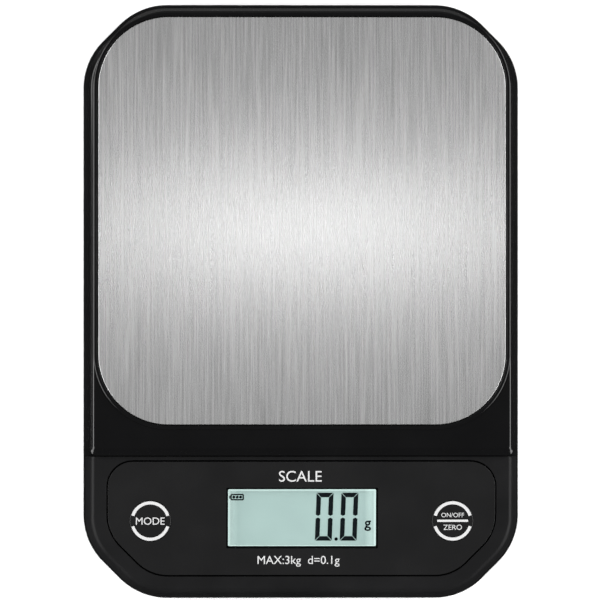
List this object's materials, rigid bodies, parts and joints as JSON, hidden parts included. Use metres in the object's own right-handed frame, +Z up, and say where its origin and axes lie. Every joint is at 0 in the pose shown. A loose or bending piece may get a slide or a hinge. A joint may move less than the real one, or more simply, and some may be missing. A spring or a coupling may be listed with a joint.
{
  "type": "kitchen scale",
  "caption": "Slim battery kitchen scale: brushed steel weighing plate on a glossy tray over a load cell, with a sloped display panel and two buttons.",
  "frame": {"origin": "middle of the footprint, on the surface that the rubber feet stand on", "axes": "+Z up through the weighing plate, +Y from the control panel to the rear, +X to the user's right"},
  "size_m": [0.136, 0.1856, 0.019],
  "materials": {
    "case_black": "fine satin moulded ABS",
    "tray_black": "polished moulded ABS",
    "brushed_steel": "stainless sheet brushed front to back",
    "overlay_black": "printed polycarbonate film, semi-gloss",
    "window_clear": "clear acrylic",
    "lcd_grey": "reflective liquid crystal cell",
    "white_plastic": "moulded",
    "board_green": "solder mask over glass epoxy",
    "chip_black": "moulded epoxy",
    "aluminium": "machined",
    "silicone_white": "cured silicone",
    "adhesive_foam": "double-sided foam tape",
    "zinc_steel": "zinc plated steel",
    "contact_nickel": "nickel plated spring steel",
    "rubber_grey": "matt moulded",
    "battery_wrap": "printed film on a standard AAA cell",
    "wire_red": "PVC insulation",
    "wire_black": "PVC insulation",
    "wire_white": "PVC sheath over four fine wires"
  },
  "bodies": {
    "case": {"base_shell": "case_black", "upper_cover": "case_black", "control_overlay": "overlay_black", "display_window": "window_clear", "lcd_glass": "lcd_grey", "lcd_frame": "white_plastic", "backlight_guide": "white_plastic", "zebra_strip": "silicone_white", "main_board": "board_green", "controller_chip": "chip_black", "adc_chip": "chip_black", "battery_socket": "white_plastic", "load_cell_socket": "white_plastic", "mode_switch": "chip_black", "zero_switch": "chip_black", "load_cell": "aluminium", "gauge_coating_top": "silicone_white", "gauge_coating_bottom": "silicone_white", "base_spacer": "zinc_steel", "base_end_screw_front": "zinc_steel", "base_end_screw_rear": "zinc_steel", "battery_front": "battery_wrap", "battery_rear": "battery_wrap", "contact_positive": "contact_nickel", "contact_negative": "contact_nickel", "contact_bridge": "contact_nickel", "contact_spring": "contact_nickel", "bridge_spring": "contact_nickel", "battery_lead_red": "wire_red", "battery_lead_black": "wire_black", "load_cell_cable": "wire_white", "foot_front_left": "rubber_grey", "foot_front_right": "rubber_grey", "foot_rear_left": "rubber_grey", "foot_rear_right": "rubber_grey", "case_screw_1": "zinc_steel", "case_screw_2": "zinc_steel", "case_screw_3": "zinc_steel", "case_screw_4": "zinc_steel", "case_screw_5": "zinc_steel", "case_screw_6": "zinc_steel", "board_screw_1": "zinc_steel", "board_screw_2": "zinc_steel", "board_screw_3": "zinc_steel", "board_screw_4": "zinc_steel"},
    "platform": {"weighing_tray": "tray_black", "platform_plate": "brushed_steel", "platform_adhesive": "adhesive_foam", "platform_spacer": "zinc_steel", "platform_end_screw_front": "zinc_steel", "platform_end_screw_rear": "zinc_steel"},
    "mode_key": {"mode_button": "overlay_black", "mode_switch_plunger": "white_plastic"},
    "zero_key": {"zero_button": "overlay_black", "zero_switch_plunger": "white_plastic"},
    "door": {"battery_door": "case_black"}
  },
  "joints": [
    {"name": "platform_load", "type": "slide", "parent": "case", "child": "platform", "axis": [0, 0, 1], "range_m": [-0.00025, 0], "stiffness_N_per_m": 100000, "springref_m": 0.00003},
    {"name": "mode_press", "type": "slide", "parent": "case", "child": "mode_key", "axis": [0, -0.0698, 0.9976], "range_m": [-0.0003, 0], "stiffness_N_per_m": 4000, "springref_m": 0.0001},
    {"name": "zero_press", "type": "slide", "parent": "case", "child": "zero_key", "axis": [0, -0.0698, 0.9976], "range_m": [-0.0003, 0], "stiffness_N_per_m": 4000, "springref_m": 0.0001},
    {"name": "battery_door_hinge", "type": "hinge", "parent": "case", "child": "door", "pos_m": [0, -0.013, 0.0012], "axis": [1, 0, 0], "range_deg": [0, 75]}
  ]
}
